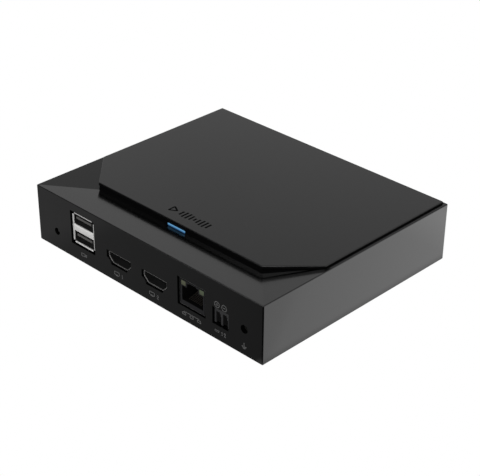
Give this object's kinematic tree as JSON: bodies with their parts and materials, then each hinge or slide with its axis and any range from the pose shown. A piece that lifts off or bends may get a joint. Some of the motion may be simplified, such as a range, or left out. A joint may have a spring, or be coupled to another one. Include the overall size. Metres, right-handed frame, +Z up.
{
  "type": "streaming media player",
  "caption": "Low rectangular network media box with a raised top plate over a folded valley, a light bar, and a row of data, video, network and power sockets along its front wall.",
  "frame": {"origin": "centre of the bounding box, on the plane that the feet stand on", "axes": "+X to the right along the longest side for someone facing the sockets, +Y away from the socket wall, +Z up"},
  "size_m": [0.145, 0.12, 0.0304],
  "materials": {
    "case_black": "satin-gloss moulded black",
    "plate_black": "satin-gloss moulded black",
    "cover_black": "matte moulded black",
    "rubber_black": "matte",
    "light_blue": "clear light guide, lit blue",
    "lamp_white": "moulded lamp body",
    "lamp_amber": "tinted lamp window, unlit",
    "screw_steel": "black-passivated",
    "socket_steel": "nickel-plated sheet",
    "brass": "turned",
    "core_white": "moulded light grey",
    "core_black": "moulded black",
    "chip_black": "moulded epoxy",
    "board_green": "solder resist",
    "pad_grey": "soft matte",
    "sink_black": "black anodised",
    "coil_grey": "pressed powder",
    "can_aluminium": "drawn",
    "button_grey": "moulded",
    "label_silver": "blank film label"
  },
  "bodies": {
    "case": {"activity_lamp": "lamp_amber", "backup_cell": "socket_steel", "board_screw_1": "screw_steel", "board_screw_2": "screw_steel", "board_screw_3": "screw_steel", "board_screw_4": "screw_steel", "bottom_cover": "cover_black", "capacitor_1": "can_aluminium", "capacitor_2": "can_aluminium", "capacitor_3": "can_aluminium", "case_screw_1": "screw_steel", "case_screw_2": "screw_steel", "case_screw_3": "screw_steel", "case_screw_4": "screw_steel", "cell_holder": "chip_black", "data_socket_core": "core_white", "data_socket_shell": "socket_steel", "earth_bracket": "socket_steel", "earth_insert": "brass", "heat_sink": "sink_black", "link_lamp": "lamp_amber", "main_board": "board_green", "memory_chip_1": "chip_black", "memory_chip_2": "chip_black", "network_chip": "chip_black", "network_jack_body": "core_black", "network_jack_screen": "socket_steel", "network_transformer": "chip_black", "power_coil_1": "coil_grey", "power_coil_2": "coil_grey", "power_header": "core_black", "power_pin_1": "socket_steel", "power_pin_2": "socket_steel", "processor": "chip_black", "rating_label": "label_silver", "reset_switch": "chip_black", "rubber_foot_1": "rubber_black", "rubber_foot_2": "rubber_black", "rubber_foot_3": "rubber_black", "rubber_foot_4": "rubber_black", "status_lamp": "lamp_white", "status_light_guide": "light_blue", "storage_chip": "chip_black", "thermal_pad": "pad_grey", "top_plate": "plate_black", "upper_housing": "case_black", "video_socket_core_1": "core_black", "video_socket_core_2": "core_black", "video_socket_shell_1": "socket_steel", "video_socket_shell_2": "socket_steel"},
    "reset_button": {"reset_button": "button_grey"}
  },
  "joints": [
    {"name": "reset_press", "type": "slide", "parent": "case", "child": "reset_button", "axis": [0, 1, 0], "range_m": [0, 0.00035], "stiffness_N_per_m": 1500}
  ]
}
